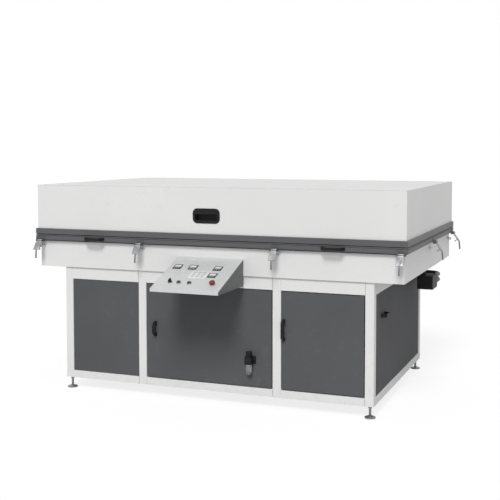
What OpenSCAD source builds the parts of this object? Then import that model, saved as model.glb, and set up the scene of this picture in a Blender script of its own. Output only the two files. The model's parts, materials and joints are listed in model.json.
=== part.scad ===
// Vacuum membrane heat press: a floor-standing frame, a table tray under a hinged membrane frame,
// and a heating hood that opens on the same rear axis. Millimetres, +Z up, front towards -Y.

/* [Overall] */
// Length of the clamping band, end to end
press_length = 2730; // [2600:10:2800]
// Depth of the clamping band, front to back
press_depth = 1720; // [1680:10:1780]
// Height of the table rim above the floor
rim_height = 1067; // [1050:1:1090]

/* [Base frame] */
// Length of the base over its outer posts
base_length = 2282; // [2200:2:2320]
// Depth of the base over its posts
base_depth = 1504; // [1470:2:1520]
// Width of the square posts
post_width = 60; // [54:1:66]
// Corner radius of the posts
post_round = 6; // [4:1:8]
// Wall of the frame tubes
tube_wall = 3; // [2:0.5:4]
// Height of the lower frame rails
rail_height = 52; // [46:1:60]
// Height of the upper frame rails
top_rail_height = 84; // [78:1:92]
// Height of the levelling feet under the frame
foot_height = 79; // [66:1:90]
// Radius of the foot pads
pad_radius = 36; // [28:1:44]
// Radius of the foot studs
stud_radius = 8; // [6:0.5:10]
// Distance from the centre line to the inner posts
bay_half = 500; // [470:5:540]
// Offset of the inner posts towards the right, negative to the left
bay_shift = -20; // [-30:1:0]
// Setback of the base behind the skirt
base_setback = 12; // [6:1:20]

/* [Panels and doors] */
// Sheet of the panels and doors
sheet = 2; // [1.5:0.5:3]
// Depth of their folded edges
fold_depth = 20; // [16:1:24]
// Setback of the panels behind the posts
panel_setback = 4; // [2:1:8]
// Gap round a door
door_gap = 6; // [5:0.5:8]
// Distance of a door's pivot from its edge
pivot_inset = 10; // [8:0.5:11]
// Radius of the door pivots
pivot_radius = 5; // [4:0.5:6]
// Height of the right door's handle above the floor
right_handle_height = 535; // [480:5:600]
// Height of the centre door's handle above the floor
centre_handle_height = 480; // [440:5:560]

/* [Table] */
// Height of the skirt
skirt_height = 185; // [178:1:195]
// Setback of the skirt under the band
skirt_inset = 28; // [26:1:32]
// Sheet of the skirt and tray
tray_sheet = 3; // [2:0.5:4]
// Width of the rim
rim_width = 60; // [50:1:70]
// Thickness of the rim
rim_plate = 5; // [4:0.5:8]
// Height of the bearers under the tray
bearer_height = 108; // [104:1:112]
// Height of the vacuum space under the bed
plenum_height = 13; // [10:1:18]
// Thickness of the bed plate
bed_plate_thick = 6; // [4:0.5:8]
// Radius of the suction holes
suction_radius = 6; // [3:0.5:9]
// Height of the seal between table and membrane frame
seal_height = 8; // [7:0.5:9]

/* [Band and membrane] */
// Height of each of the two stacked frames
band_height = 39; // [35:1:43]
// Width of the frame bars
bar_width = 50; // [46:1:60]
// Thickness of the membrane
membrane_thick = 3; // [2:0.5:4]
// Thickness of the clamp strips
strip_thick = 6; // [5:0.5:8]
// Height of the seam between the two frames
seam = 4; // [3.5:0.5:6]

/* [Hood] */
// Height of the hood above the band
hood_height = 316; // [296:1:336]
// Setback of the hood behind the band
hood_inset = 12; // [8:1:18]
// Sheet of the hood
hood_sheet = 3; // [2:0.5:4]
// Thickness of the insulation
insulation = 50; // [40:1:60]
// Number of heater tubes
heater_count = 10; // [6:1:14]
// Radius of the heater tubes
heater_radius = 9; // [6:0.5:11]
// Drop of the heater tubes below the reflector
heater_drop = 70; // [60:1:90]
// Width of the hood's pull
pull_width = 200; // [180:1:230]
// Height of the hood's pull
pull_height = 102; // [92:1:112]
// Depth of the pull's pocket
pull_depth = 38; // [34:1:46]

/* [Hinges and lift] */
// Distance of the hinge axis behind the band
hinge_back = 45; // [42:1:52]
// Radius of the hinge pins
hinge_radius = 10; // [8:0.5:12]
// Thickness of the hinge ears
ear_thick = 12; // [10:1:14]
// Distance of the outer hinges from the centre line
hinge_half = 800; // [740:10:860]
// Opening angle of the membrane frame
lift_angle = 42; // [36:1:44]
// Drop of the lift pins below the hinge axis
crank_drop = 130; // [126:1:134]
// Thickness of the lift cranks
crank_thick = 16; // [12:1:18]
// Radius of the lift pins
lift_pin_radius = 6; // [5:0.5:7]
// Radius of the lift rods
rod_radius = 10; // [8:0.5:12]
// Bore radius of the lift cylinders
bore_radius = 28; // [24:0.5:30]

/* [Latches] */
// Outward angle of a released latch
latch_angle = 35; // [32:1:38]
// Length of a latch plate below its pivot
latch_length = 80; // [76:1:86]
// Width of a latch plate
latch_width = 50; // [46:1:56]
// Radius of the latch pivots
latch_pin_radius = 5; // [4:0.5:6]
// Length of a latch grip
latch_grip = 62; // [52:1:66]

/* [Console] */
// Width of the console
console_width = 480; // [460:5:540]
// Reach of the console in front of the skirt
console_reach = 425; // [400:5:450]
// Height of the console at its back
console_back = 182; // [172:1:190]
// Height of the console at its front
console_front = 21; // [16:1:28]
// Height of the console's floor above the doors
console_clear = 16; // [12:1:24]
// Thickness of the control panel
panel_thick = 3; // [2:0.5:4]
// Radius of the push buttons
button_radius = 11; // [9:0.5:12]

/* [Vacuum] */
// Radius of the suction pipes
pipe_radius = 16; // [12:0.5:18]
// Wall of the pipes
pipe_wall = 4; // [3:0.5:5]
// Bend radius of the pipes
pipe_bend = 80; // [70:1:95]
// Radius of the vacuum tank
tank_radius = 150; // [130:1:156]
// Gap between the vacuum tank and the table above it
tank_gap = 16; // [12:1:24]

/* [Hidden] */
$fn = 24;
running_gap = 0.05;
body_gap = 0.3;
butt_gap = 0.1;

// Levels, from the floor up
rail_low = foot_height;
shelf_low = rail_low + rail_height;
post_top = rim_height - skirt_height;
rail_high = post_top - top_rail_height;
tray_low = post_top + bearer_height;
bed_low = tray_low + tray_sheet + plenum_height;
band_low = rim_height + seal_height;
bar_height = band_height - membrane_thick - strip_thick;
hood_low = band_low + band_height + seam;
shell_low = hood_low + band_height;
hood_top = shell_low + hood_height;
hinge_z = band_low - 4;

// Fronts, backs and ends, with the band's front face at zero
band_x = press_length / 2;
skirt_x = band_x - skirt_inset;
skirt_back = press_depth - skirt_inset;
base_front = skirt_inset + base_setback;
base_back = base_front + base_depth;
base_x = base_length / 2;
hinge_y = press_depth + hinge_back;
tray_x = skirt_x - rim_width;
tray_front = skirt_inset + rim_width;
tray_back = skirt_back - rim_width;

// Lift: the pin runs along a slot in the crank, half the angle each side of straight down
crank_swing = lift_angle / 2;
lift_reach = crank_drop * tan(crank_swing);
crank_near = crank_drop;
crank_far = crank_drop / cos(crank_swing);
crank_end = 22;
lift_z = hinge_z - crank_drop;
crank_width = 40;
slot_room = 1.4;
slot_spare = 2;

// Console's place and slope
console_floor = rail_high + console_clear;
console_nose = skirt_inset - console_reach;
console_x = 8;
slope_rise = console_back - console_front;
slope_angle = atan(slope_rise / console_reach);
slope_length = norm([slope_rise, console_reach]);

// Shift that centres the whole press on the origin
rear_edge = hinge_y + lift_reach + crank_end;
shift_y = -(console_nose + rear_edge) / 2;
module seat() { translate([0, shift_y, 0]) children(); }

post_xs = [post_width / 2 - base_x, bay_shift - bay_half, bay_shift + bay_half, base_x - post_width / 2];
bays = [for (i = [0:2]) [post_xs[i] + post_width / 2, post_xs[i + 1] - post_width / 2]];
door_face = base_front + panel_setback;
pivot_y = door_face + pivot_inset;
hinge_xs = [-hinge_half, 0, hinge_half];
latch_margin = 100;
latch_corner = 43;
latch_ys = [press_depth / 2, press_depth - latch_margin];
latch_places = [[post_xs[1], 0, 0], [post_xs[2], 0, 0],
    [band_x - latch_corner, 0, 0], for (y = latch_ys) [band_x, y, 90],
    [latch_corner - band_x, 0, 0], for (y = latch_ys) [-band_x, y, -90]];

// Shared shapes
module block(low, high) { translate(low) cube(high - low); }

module rounded_square(width, round) {
    translate([round, 0]) square([width - 2 * round, width]);
    translate([0, round]) square([width, width - 2 * round]);
    for (x = [round, width - round], y = [round, width - round]) translate([x, y]) circle(round);
}

// A tube along X or Y, open at both ends
module rail_x(low, high, wall) {
    difference() {
        block(low, high);
        block([low.x - 1, low.y + wall, low.z + wall], [high.x + 1, high.y - wall, high.z - wall]);
    }
}

module rail_y(low, high, wall) {
    difference() {
        block(low, high);
        block([low.x + wall, low.y - 1, low.z + wall], [high.x - wall, high.y + 1, high.z - wall]);
    }
}

// A capped tube with a weep hole in its inner face
weep_radius = 4;
module capped_bar(low, high, wall, weep) {
    along_x = high.x - low.x > high.y - low.y;
    middle = (low + high) / 2;
    difference() {
        block(low, high);
        block([for (i = [0:2]) low[i] + wall], [for (i = [0:2]) high[i] - wall]);
        translate(middle) rotate(along_x ? [-90 * weep, 0, 0] : [0, 90 * weep, 0])
            cylinder(h = bar_width, r = weep_radius);
    }
}

// Four capped bars round the band's outline
module band_ring(low, high) {
    capped_bar([-band_x, 0, low], [band_x, bar_width, high], tube_wall, 1);
    capped_bar([-band_x, press_depth - bar_width, low], [band_x, press_depth, high], tube_wall, -1);
    side_front = bar_width + butt_gap;
    side_back = press_depth - side_front;
    capped_bar([band_x - bar_width, side_front, low], [band_x, side_back, high], tube_wall, -1);
    capped_bar([-band_x, side_front, low], [bar_width - band_x, side_back, high], tube_wall, 1);
}

// Four flat strips round the band's outline, inset from its outer edge
module strip_ring(inset, width, low, high) {
    x = band_x - inset;
    y0 = inset;
    y1 = press_depth - inset;
    block([-x, y0, low], [x, y0 + width, high]);
    block([-x, y1 - width, low], [x, y1, high]);
    for (s = [0, 1]) mirror([s, 0, 0])
        block([x - width, y0 + width + butt_gap, low], [x, y1 - width - butt_gap, high]);
}

// A folded sheet pan, face towards -Y, lying between two corners
module pan(low, high) {
    difference() {
        block([low.x, low.y, low.z], [high.x, low.y + fold_depth, high.z]);
        block([low.x + sheet, low.y + sheet, low.z + sheet],
            [high.x - sheet, low.y + fold_depth + 1, high.z - sheet]);
    }
}

// A bridge handle along X that stands out towards -Y from the origin
handle_bar = 12;
module bridge_handle(length, reach, width) {
    half = length / 2;
    shoulder = reach * 0.6;
    foot = half - 2 * handle_bar;
    top = half - shoulder - handle_bar;
    translate([0, 0, -width / 2]) linear_extrude(width) difference() {
        polygon([[-half, 0], [shoulder - half, -reach], [half - shoulder, -reach], [half, 0]]);
        polygon([[-foot, 1], [-foot, 0], [-top, handle_bar - reach], [top, handle_bar - reach],
            [foot, 0], [foot, 1]]);
    }
}

// Base frame
foot_plate = 8;
module frame_posts() {
    inner = post_width - tube_wall;
    middle = post_width / 2;
    color("whitesmoke") seat()
        for (x = post_xs, y = [base_front, base_back - post_width])
            translate([x - middle, y, rail_low]) difference() {
                linear_extrude(post_top - rail_low) rounded_square(post_width, post_round);
                block([tube_wall, tube_wall, foot_plate], [inner, inner, post_top]);
                if (abs(x) > bay_half + post_width) translate([middle, middle, -1])
                    cylinder(h = foot_plate + 2, r = stud_radius + running_gap);
            }
}

door_pivot_xs = [bays[1][1] - door_gap - pivot_inset, bays[2][1] - door_gap - pivot_inset];
module frame_rails() {
    color("whitesmoke") seat() for (rail = [[rail_low, rail_height], [rail_high, top_rail_height]]) {
        z = rail[0];
        top = rail[0] + rail[1];
        for (bay = bays) {
            difference() {
                rail_x([bay[0], base_front, z],
                    [bay[1], base_front + post_width, top], tube_wall);
                for (x = door_pivot_xs) translate([x, pivot_y, shelf_low - tube_wall - 1])
                    cylinder(h = rail_high - shelf_low + 2 * tube_wall + 2, r = pivot_radius + running_gap);
            }
            rail_x([bay[0], base_back - post_width, z], [bay[1], base_back, top], tube_wall);
        }
        for (x = post_xs) rail_y([x - post_width / 2, base_front + post_width, z],
            [x + post_width / 2, base_back - post_width, top], tube_wall);
    }
}

nut_height = 14;
pad_height = 14;
stud_spare = 30;
module foot_places() {
    x = base_x - post_width / 2;
    seat() for (s = [-1, 1], y = [base_front, base_back - post_width])
        translate([s * x, y + post_width / 2, 0]) children();
}

module foot_pads() {
    color("dimgray") foot_places() difference() {
        rotate_extrude() polygon([[0, 0], [pad_radius, 0], [pad_radius, pad_height / 2],
            [pad_radius / 2, pad_height], [0, pad_height]]);
        translate([0, 0, pad_height / 2]) cylinder(h = pad_height, r = stud_radius + running_gap);
    }
}

module foot_studs() {
    color("silver") foot_places() {
        translate([0, 0, pad_height / 2])
            cylinder(h = foot_height - pad_height / 2 + stud_spare, r = stud_radius);
        translate([0, 0, foot_height - nut_height]) difference() {
            cylinder(h = nut_height, r = 1.7 * stud_radius, $fn = 6);
            translate([0, 0, -1]) cylinder(h = nut_height + 2, r = stud_radius + running_gap);
        }
    }
}

module floor_shelf() {
    color("gray") seat() block([post_width - base_x, base_front + post_width, shelf_low],
        [base_x - post_width, base_back - post_width, shelf_low + tray_sheet]);
}

// Panels and doors
module fixed_panels() {
    color("dimgray") seat() {
        pan([bays[0][0], door_face, shelf_low], [bays[0][1], door_face, rail_high]);
        end_panels();
        rear_panels();
    }
}

module end_panels() {
    front = base_front + post_width;
    back = base_back - post_width;
    face = base_x - panel_setback;
    for (s = [0, 1]) mirror([s, 0, 0]) difference() {
        block([face - fold_depth, front, shelf_low], [face, back, rail_high]);
        block([face - fold_depth - 1, front + sheet, shelf_low + sheet],
            [face - sheet, back - sheet, rail_high - sheet]);
        if (s == 0) for (z = pipe_levels) translate([face - fold_depth, pipe_back, z])
            rotate([0, 90, 0]) cylinder(h = 2 * fold_depth, r = pipe_radius + running_gap);
    }
}

end_handle_back = 260;
end_handle_drop = 163;
end_handle_y = base_front + end_handle_back;
end_handle_z = rail_high - end_handle_drop;
end_handle_length = 130;
handle_reach = 38;
handle_width = 22;
module end_handles() {
    color("black") seat() for (s = [0, 1]) mirror([s, 0, 0])
        translate([base_x - panel_setback, end_handle_y, end_handle_z])
        rotate([0, 0, 90]) bridge_handle(end_handle_length, handle_reach, handle_width);
}

louvre_count = 9;
louvre_pitch = 26;
louvre_rise = 130;
louvre_low = shelf_low + louvre_rise;
louvre_length = 300;
louvre_slot = 8;
module rear_panels() {
    face = base_back - panel_setback;
    for (bay = bays) difference() {
        translate([0, 2 * face, 0]) mirror([0, 1, 0])
            pan([bay[0], face, shelf_low], [bay[1], face, rail_high]);
        for (i = [0:louvre_count - 1])
            translate([(bay[0] + bay[1]) / 2, face, louvre_low + i * louvre_pitch])
            cube([louvre_length, 4 * sheet, louvre_slot], center = true);
    }
}

// A hinged door: a pan inside its bay, with its pivots near the right-hand edge
module door_pan(bay) {
    pan([bay[0] + door_gap, door_face, shelf_low + door_gap],
        [bay[1] - door_gap, door_face, rail_high - door_gap]);
}

module door_pivots(x) {
    for (z = [shelf_low - tube_wall, rail_high - door_gap]) translate([x, pivot_y, z])
        cylinder(h = door_gap + tube_wall, r = pivot_radius);
}

module door_handle(x, z, length) {
    translate([x, door_face, z]) rotate([0, 90, 0]) bridge_handle(length, handle_reach, handle_width);
}

right_handle_x = bays[2][0] + door_gap + 14;
right_handle_length = 150;
centre_handle_x = bays[1][0] + door_gap + 66;
centre_handle_length = 110;
module hung_door(bay, pivot_x) {
    color("dimgray") seat() {
        door_pan(bay);
        door_pivots(pivot_x);
    }
}

module centre_door() { hung_door(bays[1], door_pivot_xs[0]); }

module centre_door_handle() {
    color("black") seat() door_handle(centre_handle_x, centre_handle_height, centre_handle_length);
}

module right_door() { hung_door(bays[2], door_pivot_xs[1]); }

module right_door_handle() {
    color("black") seat() door_handle(right_handle_x, right_handle_height, right_handle_length);
}

// Air regulator on the centre door
regulator_x = bays[1][1] - 155;
regulator_rise = 189;
regulator_z = shelf_low + regulator_rise;
regulator_size = 48;
bracket_thick = 10;
bracket_wing = 14;
neck_radius = 14;
neck_height = 16;
port_radius = 6.6;
port_depth = 15;
bowl_radius = 20;
bowl_height = 74;
module regulator_place() {
    seat() translate([regulator_x, door_face - regulator_size / 2 - bracket_thick, regulator_z]) children();
}

module regulator() {
    half = regulator_size / 2;
    color("silver") regulator_place() difference() {
        union() {
            cube([regulator_size, regulator_size, regulator_size], center = true);
            block([-half - bracket_wing, half, -half], [half + bracket_wing, half + bracket_thick, half]);
            translate([0, 0, half]) cylinder(h = neck_height, r = neck_radius);
        }
        for (s = [-1, 1]) translate([s * half, 0, 0]) rotate([0, 90, 0])
            cylinder(h = 2 * port_depth, r = port_radius, center = true);
    }
}

module regulator_bowl() {
    color("gainsboro", 0.8) regulator_place() translate([0, 0, -regulator_size / 2 - bowl_height])
        rotate_extrude() polygon([[0, 0], [6, 0], [8, 6], [bowl_radius - 4, 10], [bowl_radius, 18],
            [bowl_radius, bowl_height], [0, bowl_height]]);
}

knob_radius = 19;
knob_height = 36;
rib = [3, 6, 26];
rib_count = 8;
module regulator_knob() {
    color("black") regulator_place() translate([0, 0, regulator_size / 2 + body_gap]) difference() {
        union() {
            cylinder(h = knob_height, r = knob_radius);
            for (i = [1:rib_count]) rotate([0, 0, i * 360 / rib_count])
                translate([knob_radius - 1, -rib.y / 2, (knob_height - rib.z) / 2 + 1]) cube(rib);
        }
        translate([0, 0, -1]) cylinder(h = neck_height + 1 + body_gap, r = neck_radius + running_gap);
    }
}

// Table
rod_window = 52;
module table_skirt() {
    top = rim_height - rim_plate;
    color("whitesmoke") seat() {
        block([-skirt_x, skirt_inset, post_top], [skirt_x, skirt_inset + tray_sheet, top]);
        difference() {
            block([-skirt_x, skirt_back - tray_sheet, post_top], [skirt_x, skirt_back, top]);
            for (s = [-1, 1]) translate([s * hinge_half, skirt_back, lift_z])
                cube([rod_window, 4 * tray_sheet, rod_window], center = true);
        }
        for (s = [0, 1]) mirror([s, 0, 0])
            block([skirt_x - tray_sheet, skirt_inset + tray_sheet + butt_gap, post_top],
                [skirt_x, skirt_back - tray_sheet - butt_gap, top]);
        latch_keepers();
    }
}

module table_rim() {
    low = rim_height - rim_plate;
    color("whitesmoke") seat() {
        block([-skirt_x, skirt_inset, low], [skirt_x, tray_front, rim_height]);
        block([-skirt_x, tray_back, low], [skirt_x, skirt_back, rim_height]);
        for (s = [0, 1]) mirror([s, 0, 0])
            block([tray_x, tray_front + butt_gap, low], [skirt_x, tray_back - butt_gap, rim_height]);
    }
}

riser_inset = 40;
riser_x = tray_x - riser_inset;
riser_y = 0.67 * press_depth;
riser_radius = 20;
module table_tray() {
    top = rim_height - rim_plate;
    low = tray_low + tray_sheet;
    color("lightgray") seat() {
        difference() {
            block([-tray_x, tray_front, tray_low], [tray_x, tray_back, low]);
            translate([riser_x, riser_y, tray_low - 1])
                cylinder(h = tray_sheet + 2, r = riser_radius - pipe_wall);
        }
        wall_low = low + butt_gap;
        block([-tray_x, tray_front, wall_low], [tray_x, tray_front + tray_sheet, top]);
        block([-tray_x, tray_back - tray_sheet, wall_low], [tray_x, tray_back, top]);
        for (s = [0, 1]) mirror([s, 0, 0])
            block([tray_x - tray_sheet, tray_front + tray_sheet + butt_gap, wall_low],
                [tray_x, tray_back - tray_sheet - butt_gap, top]);
        bed_battens();
    }
}

bearer_xs = [for (x = post_xs) x, 0];
bearer_width = 50;
module table_bearers() {
    color("gray") seat() for (x = bearer_xs)
        rail_y([x - bearer_width / 2, skirt_inset + tray_sheet, post_top],
            [x + bearer_width / 2, skirt_back - tray_sheet, tray_low], tube_wall);
}

bed_gap = 4;
batten_count = 7;
batten_width = 30;
batten_margin = 60;
module bed_battens() {
    span = 2 * (tray_x - tray_sheet - bed_gap - batten_width);
    pitch = span / (batten_count - 1);
    for (i = [0:batten_count - 1])
        translate([i * pitch - (span + batten_width) / 2, tray_front + batten_margin, tray_low + tray_sheet])
        cube([batten_width, tray_back - tray_front - 2 * batten_margin, plenum_height]);
}

suction_columns = 8;
suction_rows = 5;
module bed_plate() {
    x = tray_x - tray_sheet - bed_gap;
    y0 = tray_front + tray_sheet + bed_gap;
    y1 = tray_back - tray_sheet - bed_gap;
    column_pitch = 2 * x / suction_columns;
    row_pitch = (y1 - y0) / suction_rows;
    color("silver") seat() difference() {
        block([-x, y0, bed_low], [x, y1, bed_low + bed_plate_thick]);
        for (i = [0:suction_columns - 1], j = [0:suction_rows - 1])
            translate([(i + 0.5) * column_pitch - x, y0 + (j + 0.5) * row_pitch, bed_low - 1])
            cylinder(h = bed_plate_thick + 2, r = suction_radius, $fn = 16);
    }
}

seal_inset = 4;
seal_width = 22;
module table_seal() {
    color("black") seat() strip_ring(skirt_inset + seal_inset, seal_width, rim_height, band_low - body_gap);
}

// Console
module slope_place(x, along) {
    seat() translate([x, console_nose, console_floor + console_front])
        rotate([slope_angle, 0, 0]) translate([0, along, 0]) children();
}

module console_box() {
    wall = sheet;
    x = console_width / 2;
    drop = panel_thick / cos(slope_angle);
    front = console_nose + panel_thick + butt_gap;
    front_top = console_floor + console_front + (front - console_nose) * tan(slope_angle);
    back_top = console_floor + console_back;
    color("gray") seat() translate([console_x, 0, 0]) {
        difference() {
            translate([-x, 0, 0]) rotate([90, 0, 90]) linear_extrude(console_width) polygon([
                [front, console_floor], [skirt_inset, console_floor],
                [skirt_inset, back_top - drop], [front, front_top - drop]]);
            translate([wall - x, 0, 0]) rotate([90, 0, 90]) linear_extrude(2 * (x - wall)) polygon([
                [front + wall, console_floor + wall], [skirt_inset - wall, console_floor + wall],
                [skirt_inset - wall, back_top], [front + wall, front_top]]);
        }
        block([-x / 2, skirt_inset, console_floor], [x / 2, base_front, post_top]);
    }
}

button_down = 361;
button_row = slope_length - button_down;
selector_x = -129;
start_x = -67;
stop_x = 8;
emergency_x = 171;
round_xs = [selector_x, start_x, stop_x, emergency_x];
bezel_radius = 16;
bezel_height = 6;
stem_radius = 7;
display_down = 150;
display_row = slope_length - display_down;
display_pitch = 96;
display_places = [[-168, display_row], [-56, display_row],
    [124, display_row], [124, display_row - display_pitch]];
display_width = 58;
display_height = 60;
display_depth = 60;
display_rise = 3;
display_lip = 3;
module control_panel() {
    plate = slope_length - panel_thick * tan(slope_angle) - butt_gap;
    nose = [console_nose, console_floor + console_front];
    top = nose + plate * [cos(slope_angle), sin(slope_angle)];
    under = panel_thick * [sin(slope_angle), -cos(slope_angle)];
    fold = panel_thick * [1, tan(slope_angle) - 1 / cos(slope_angle)];
    color("silver") difference() {
        seat() translate([console_x - console_width / 2, 0, 0]) rotate([90, 0, 90])
            linear_extrude(console_width) polygon([[nose.x, console_floor], nose, top, top + under,
                nose + fold, [nose.x + panel_thick, console_floor]]);
        for (x = round_xs) slope_place(x, button_row) translate([0, 0, -panel_thick - 1])
            cylinder(h = panel_thick + 2, r = stem_radius + 1);
        for (place = display_places) slope_place(place.x, place.y)
            cube([display_width - 2 * display_lip, display_height - 2 * display_lip, 4 * panel_thick],
                center = true);
    }
}

module displays() {
    half = [display_width / 2, display_height / 2];
    body = half - [display_lip + 1, display_lip + 1];
    color("black") for (place = display_places) slope_place(place.x, place.y) {
        block([-half.x, -half.y, 0], [half.x, half.y, display_rise]);
        block([-body.x, -body.y, -display_depth], [body.x, body.y, 0]);
    }
}

keypad_x = 25;
keypad_down = 245;
keypad_row = slope_length - keypad_down;
keypad_size = [116, 96, 1.6];
module keypad() {
    color("whitesmoke") slope_place(keypad_x, keypad_row)
        translate([-keypad_size.x / 2, -keypad_size.y / 2, 0]) cube(keypad_size);
}

module button_bezels() {
    color("silver") for (x = round_xs) slope_place(x, button_row) difference() {
        cylinder(h = bezel_height, r = bezel_radius);
        translate([0, 0, -1]) cylinder(h = bezel_height + 2, r = button_radius + running_gap);
    }
}

button_travel = 4;
cap_low = button_travel + 0.5;
stem_low = -panel_thick - 10;
module round_button(x) {
    slope_place(x, button_row) {
        translate([0, 0, cap_low]) cylinder(h = bezel_height, r = button_radius);
        translate([0, 0, stem_low]) cylinder(h = cap_low - stem_low, r = stem_radius);
    }
}

module start_button() { color("dimgray") round_button(start_x); }
module stop_button() { color("dimgray") round_button(stop_x); }

mushroom_radius = 20;
mushroom_height = 15;
mushroom_edge = 4;
module emergency_stop() {
    color("firebrick") {
        round_button(emergency_x);
        slope_place(emergency_x, button_row) translate([0, 0, cap_low + bezel_height])
            rotate_extrude() polygon([[0, 0], [mushroom_radius - mushroom_edge, 0],
                [mushroom_radius, mushroom_edge], [mushroom_radius, 2 * mushroom_edge],
                [mushroom_radius - mushroom_edge, mushroom_height - 2], [0, mushroom_height]]);
    }
}

grip = [8, 28, 14];
module mode_selector() {
    color("black") {
        round_button(selector_x);
        slope_place(selector_x, button_row)
            translate([-grip.x / 2, -grip.y / 2, bezel_height + button_travel]) cube(grip);
    }
}

// Vacuum: a block under the right-hand overhang, two pipes to the tank, and the pump on the shelf
block_size = [180, 98];
block_high = rail_high;
block_low = block_high - block_size.y;
block_front = riser_y - block_size.x / 2;
block_back = riser_y + block_size.x / 2;
block_wall = 28;
pipe_x = base_x + 6 / 7 * (skirt_x - base_x);
pipe_drops = [60, 20];
pipe_levels = [for (drop = pipe_drops) rail_high - drop];
pipe_clear = 44;
pipe_back = base_back - post_width - pipe_clear;
bend_start = pipe_back - pipe_bend;
flange_thick = 10;
module vacuum_block() {
    color("black") seat() difference() {
        union() {
            block([riser_x - block_wall, block_front, block_low],
                [pipe_x + pipe_radius, block_back, block_high]);
            translate([riser_x, riser_y, block_high]) cylinder(h = tray_low - block_high, r = riser_radius);
            translate([riser_x, riser_y, tray_low - flange_thick])
                cylinder(h = flange_thick, r = 2 * riser_radius);
        }
        translate([riser_x, riser_y, block_low + block_wall])
            cylinder(h = tray_low, r = riser_radius - pipe_wall);
    }
}

tank_side = 120;
tank_behind = 20;
nozzle_length = 40;
tank_x = base_x - post_width - tank_radius - tank_side;
tank_y = base_back - post_width - tank_radius - tank_behind;
nozzle_end = tank_x + tank_radius + nozzle_length;
module pipe_run(radius, z) {
    translate([pipe_x, block_back, z]) rotate([-90, 0, 0])
        cylinder(h = bend_start - block_back, r = radius);
    translate([pipe_x - pipe_bend, bend_start, z]) rotate_extrude(angle = 90, $fn = 48)
        translate([pipe_bend, 0]) circle(radius);
    translate([nozzle_end, pipe_back, z]) rotate([0, 90, 0])
        cylinder(h = pipe_x - pipe_bend - nozzle_end, r = radius);
}

module vacuum_pipes() {
    color("black") seat() for (z = pipe_levels) difference() {
        pipe_run(pipe_radius, z);
        pipe_run(pipe_radius - pipe_wall, z);
    }
}

tank_wall = 4;
tank_stand = 24;
tank_dish = 40;
tank_leg = [30, 30, 60];
tank_height = post_top - tank_gap - shelf_low - tray_sheet - tank_stand;
module tank_form(radius, height) {
    neck = radius * 0.7;
    rotate_extrude($fn = 48) polygon([[0, 0], [neck, 0], [radius, tank_dish],
        [radius, height - tank_dish], [neck, height], [0, height]]);
}

module vacuum_tank() {
    low = shelf_low + tray_sheet;
    color("steelblue") seat() difference() {
        union() {
            translate([tank_x, tank_y, low + tank_stand]) tank_form(tank_radius, tank_height);
            for (a = [45:90:315]) translate([tank_x, tank_y, low]) rotate([0, 0, a])
                translate([tank_radius * 0.75, -tank_leg.y / 2, 0]) cube(tank_leg + [0, 0, tank_stand]);
            for (z = pipe_levels) translate([tank_x, pipe_back, z]) rotate([0, 90, 0])
                cylinder(h = nozzle_end - tank_x, r = pipe_radius);
        }
        translate([tank_x, tank_y, low + tank_stand + tank_wall])
            tank_form(tank_radius - tank_wall, tank_height - 2 * tank_wall);
        for (z = pipe_levels) translate([tank_x, pipe_back, z]) rotate([0, 90, 0])
            cylinder(h = nozzle_end - tank_x + 1, r = pipe_radius - pipe_wall);
    }
}

// Vacuum pump: a motor along X, a housing with an inlet dome, and feet
pump_x = -60;
pump_y = 900;
pump_axis = 150;
pump_length = 300;
pump_half = 140;
pump_base = 30;
pump_top = 300;
pump_wall = 14;
motor_radius = 105;
motor_length = 340;
motor_wall = 30;
cowl_length = 40;
dome_radius = 55;
dome_height = 90;
pump_foot = 40;
foot_xs = [-260, pump_foot, pump_length - 2 * pump_foot];
foot_ys = [-90, 90 - pump_foot];
dome_x = pump_x + pump_length * 0.6;
module pump_form(shrink) {
    translate([pump_x + shrink, pump_y, pump_axis]) rotate([0, -90, 0])
        cylinder(h = motor_length, r = motor_radius - shrink * motor_wall / pump_wall, $fn = 48);
    block([pump_x + shrink, pump_y - pump_half + shrink, pump_base + shrink],
        [pump_x + pump_length - shrink, pump_y + pump_half - shrink, pump_top - shrink]);
    translate([dome_x, pump_y, pump_top - shrink]) cylinder(h = dome_height, r = dome_radius - shrink);
}

module vacuum_pump() {
    color("steelblue") seat() translate([0, 0, shelf_low + tray_sheet]) difference() {
        union() {
            pump_form(0);
            translate([pump_x - motor_length, pump_y, pump_axis]) rotate([0, -90, 0])
                cylinder(h = cowl_length, r = motor_radius - pump_wall, $fn = 48);
            for (dx = foot_xs, dy = foot_ys)
                translate([pump_x + dx, pump_y + dy, 0]) cube([pump_foot, pump_foot, pump_axis / 2]);
        }
        pump_form(pump_wall);
        translate([dome_x, pump_y, pump_top]) cylinder(h = 2 * dome_height, r = pipe_radius);
    }
}

// Electrical panel: a bent plate on the shelf with contactors, a controller, a supply and a terminal strip
panel_size = [440, 4, 520];
panel_foot = 56;
contactor = [56, 70, 90];
contactor_pitch = 76;
contactor_count = 5;
controller = [190, 50, 90];
supply = [140, 60, 120];
terminals = [380, 30, 40];
board_side = 60;
board_setback = 380;
contactor_place = [40, 330];
controller_place = [40, 180];
supply_place = [260, 160];
terminal_place = [30, 60];
module on_panel(place, size) { translate([place.x, -size.y, place.y]) cube(size); }
module electrical_panel() {
    left = post_width + board_side - base_x;
    color("lightgray") seat() translate([left, base_front + board_setback, shelf_low + tray_sheet]) {
        cube(panel_size);
        cube([panel_size.x, panel_foot, panel_size.y]);
        for (i = [0:contactor_count - 1]) on_panel(contactor_place + [i * contactor_pitch, 0], contactor);
        on_panel(controller_place, controller);
        on_panel(supply_place, supply);
        on_panel(terminal_place, terminals);
    }
}

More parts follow.
